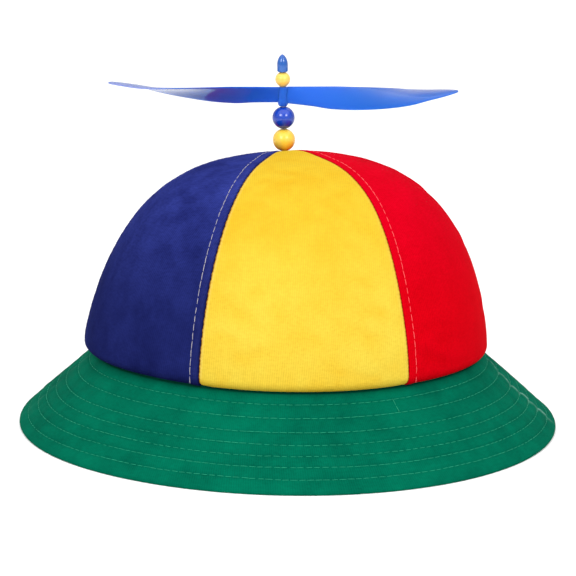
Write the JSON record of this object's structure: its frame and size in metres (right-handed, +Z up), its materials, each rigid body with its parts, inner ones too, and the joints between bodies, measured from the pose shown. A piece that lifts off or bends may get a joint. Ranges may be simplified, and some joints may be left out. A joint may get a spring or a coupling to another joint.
{
  "type": "propeller bucket hat",
  "caption": "Bucket hat with a domed crown of coloured cloth gores, a sloping quilted brim, and a twisted propeller that spins between beads on a pin at the top.",
  "frame": {"origin": "centre of the brim's outline, on the plane that the brim's edge rests on", "axes": "+Z up along the height of the crown, -Y towards the yellow front panel, +X towards the wearer's left"},
  "size_m": [0.2574, 0.2688, 0.1724],
  "materials": {
    "cloth_yellow": "matt cotton twill",
    "cloth_red": "matt cotton twill",
    "cloth_blue": "matt cotton twill",
    "cloth_green": "matt cotton twill",
    "bead_yellow": "glossy",
    "bead_pale": "glossy",
    "bead_blue": "glossy",
    "propeller_blue": "glossy",
    "cap_blue": "glossy",
    "pin_steel": "satin"
  },
  "bodies": {
    "hat": {"crown_panel_front": "cloth_yellow", "crown_panel_front_right": "cloth_red", "crown_panel_back_right": "cloth_blue", "crown_panel_back": "cloth_yellow", "crown_panel_back_left": "cloth_red", "crown_panel_front_left": "cloth_blue", "brim": "cloth_green", "pin": "pin_steel", "bead_lower": "bead_yellow", "bead_middle": "bead_blue", "bead_upper": "bead_pale", "nose_cap": "cap_blue"},
    "propeller": {"propeller": "propeller_blue"}
  },
  "joints": [
    {"name": "propeller_spin", "type": "hinge", "parent": "hat", "child": "propeller", "pos_m": [-0.00263, 0.02278, 0.1521], "axis": [0.0079, -0.0157, 0.9998], "continuous": true}
  ]
}
